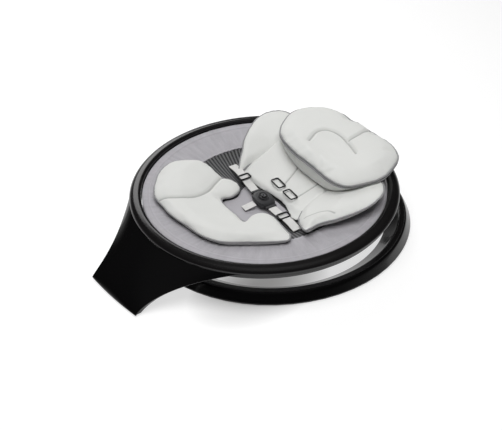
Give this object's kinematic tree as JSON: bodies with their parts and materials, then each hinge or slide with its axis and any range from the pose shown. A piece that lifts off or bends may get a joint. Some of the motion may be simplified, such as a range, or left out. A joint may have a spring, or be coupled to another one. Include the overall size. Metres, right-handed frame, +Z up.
{
  "type": "baby swing",
  "caption": "Folded baby swing: round seat ring on a flared leg hinged to a floor ring, with a padded fabric seat that rocks inside the ring.",
  "frame": {"origin": "on the floor, under the middle of the whole swing's box", "axes": "+X towards the head end, +Z up, Y across; Y = 0 is the plane through the leg and both rings' middles"},
  "size_m": [0.79, 0.632, 0.1757],
  "materials": {
    "gloss_black": "high gloss",
    "satin_black": "satin",
    "dark_plastic": "matte",
    "rubber": "matte",
    "steel": "satin",
    "alloy": "die cast",
    "board": "circuit board",
    "copper": "wound copper wire",
    "band_fabric": "heather weave",
    "mesh_fabric": "ribbed mesh",
    "inlay_fabric": "soft jersey",
    "grey_fabric": "soft jersey",
    "webbing": "woven webbing",
    "buckle_plastic": "fine textured"
  },
  "bodies": {
    "base": {"base_ring": "gloss_black", "base_top_trim": "satin_black", "base_cover": "dark_plastic", "foot_pad_1": "rubber", "foot_pad_2": "rubber", "foot_pad_3": "rubber", "foot_pad_4": "rubber", "foot_pad_5": "rubber", "foot_pad_6": "rubber", "arm_pad_1": "rubber", "arm_pad_2": "rubber", "rest_bumper_1": "rubber", "rest_bumper_2": "rubber", "ballast_weight": "steel", "control_board": "board", "power_inlet": "dark_plastic", "hinge_arm": "satin_black", "hinge_pin": "steel"},
    "frame": {"leg_skin": "gloss_black", "leg_cover": "gloss_black", "leg_frame": "alloy", "seat_ring_shell": "gloss_black", "seat_ring_trim": "satin_black", "foot_pivot_bush": "dark_plastic", "head_pivot_bush": "dark_plastic", "drive_coil": "copper", "foot_centring_spring": "steel", "head_centring_spring": "steel"},
    "seat": {"seat_rim": "dark_plastic", "fabric_band": "band_fabric", "mesh_bowl": "mesh_fabric", "drive_magnet": "steel", "foot_pivot_shaft": "steel", "head_pivot_shaft": "steel", "lower_inlay": "inlay_fabric", "back_inlay": "inlay_fabric", "left_wing": "inlay_fabric", "right_wing": "inlay_fabric", "head_pillow": "inlay_fabric", "crotch_pad": "grey_fabric", "crotch_strap": "webbing", "left_waist_strap": "webbing", "right_waist_strap": "webbing", "buckle_body": "buckle_plastic", "left_tongue": "buckle_plastic", "right_tongue": "buckle_plastic", "left_shoulder_ring": "buckle_plastic", "right_shoulder_ring": "buckle_plastic"},
    "power_button": {"power_button": "satin_black"},
    "fold_release": {"fold_release": "satin_black"},
    "buckle_button": {"buckle_button": "satin_black"},
    "left_adjuster": {"left_adjuster": "buckle_plastic"},
    "right_adjuster": {"right_adjuster": "buckle_plastic"}
  },
  "joints": [
    {"name": "fold", "type": "hinge", "parent": "base", "child": "frame", "pos_m": [-0.3735, 0, 0.0097], "axis": [0, -1, 0], "range_deg": [0, 20]},
    {"name": "swing", "type": "hinge", "parent": "frame", "child": "seat", "pos_m": [0.03375, 0, 0.09251], "axis": [0.9993, 0, 0.0384], "range_deg": [-5, 5], "stiffness_Nm_per_rad": 30},
    {"name": "power_press", "type": "slide", "parent": "base", "child": "power_button", "axis": [-0.2031, -0.8512, -0.4841], "range_m": [0, 0.0015], "stiffness_N_per_m": 400},
    {"name": "fold_release_press", "type": "slide", "parent": "frame", "child": "fold_release", "axis": [-0.551, 0, 0.8345], "range_m": [0, 0.0018], "stiffness_N_per_m": 500},
    {"name": "buckle_press", "type": "slide", "parent": "seat", "child": "buckle_button", "axis": [0.0384, 0, -0.9993], "range_m": [0, 0.002], "stiffness_N_per_m": 500},
    {"name": "left_adjust", "type": "slide", "parent": "seat", "child": "left_adjuster", "axis": [0.1651, 0.9719, 0.1676], "range_m": [-0.006, 0.006]},
    {"name": "right_adjust", "type": "slide", "parent": "seat", "child": "right_adjuster", "axis": [-0.1774, -0.9719, 0.1544], "range_m": [-0.006, 0.006]}
  ]
}
